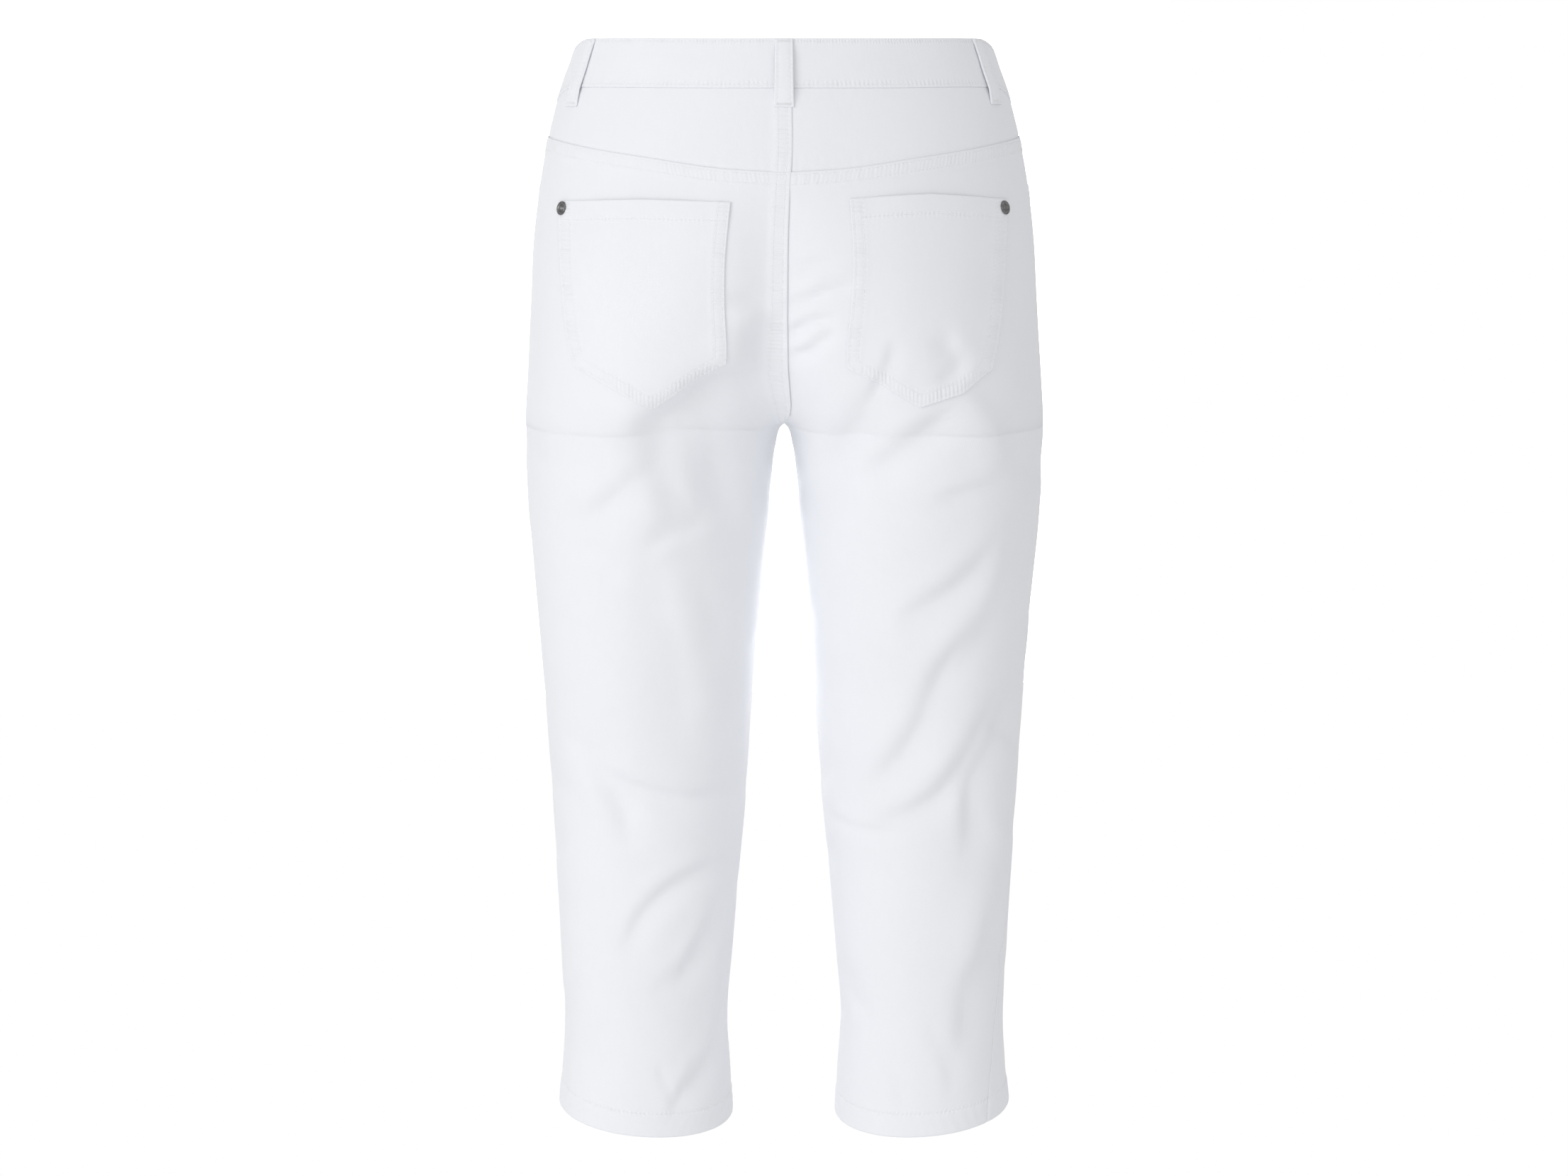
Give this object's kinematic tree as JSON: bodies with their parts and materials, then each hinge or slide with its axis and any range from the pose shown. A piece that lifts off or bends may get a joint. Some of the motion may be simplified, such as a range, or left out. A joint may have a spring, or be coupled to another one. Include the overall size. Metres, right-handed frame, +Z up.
{
  "type": "capri pants",
  "caption": "Hollow white cropped trousers, filled out as worn, with a waistband, belt loops, back yoke, pointed back patch pockets, front scoop pockets, a lapped closed fly and open hems.",
  "frame": {"origin": "middle of the waist ring, inside the waistband; the back's top edge is 10 mm above it and the front's 15 mm below it", "axes": "+Z up, the wearer faces -Y, the wearer's left is +X"},
  "size_m": [0.3708, 0.246, 0.7845],
  "materials": {
    "white_twill": "matt stretch-cotton twill",
    "white_twill_facing": "matt stretch-cotton twill, behind the front pocket's mouth",
    "gunmetal": "dark satin metal"
  },
  "bodies": {
    "root": {"waistband": "white_twill", "yoke_left": "white_twill", "yoke_right": "white_twill", "back_left": "white_twill", "back_right": "white_twill", "front_left": "white_twill", "front_right": "white_twill", "back_pocket_left": "white_twill", "back_pocket_right": "white_twill", "belt_loop_centre_back": "white_twill", "belt_loop_back_left": "white_twill", "belt_loop_back_right": "white_twill", "belt_loop_front_left": "white_twill", "belt_loop_front_right": "white_twill", "pocket_facing_left": "white_twill_facing", "pocket_facing_right": "white_twill_facing", "pocket_rivet_left": "gunmetal", "pocket_rivet_right": "gunmetal", "waist_button": "gunmetal"}
  },
  "joints": []
}
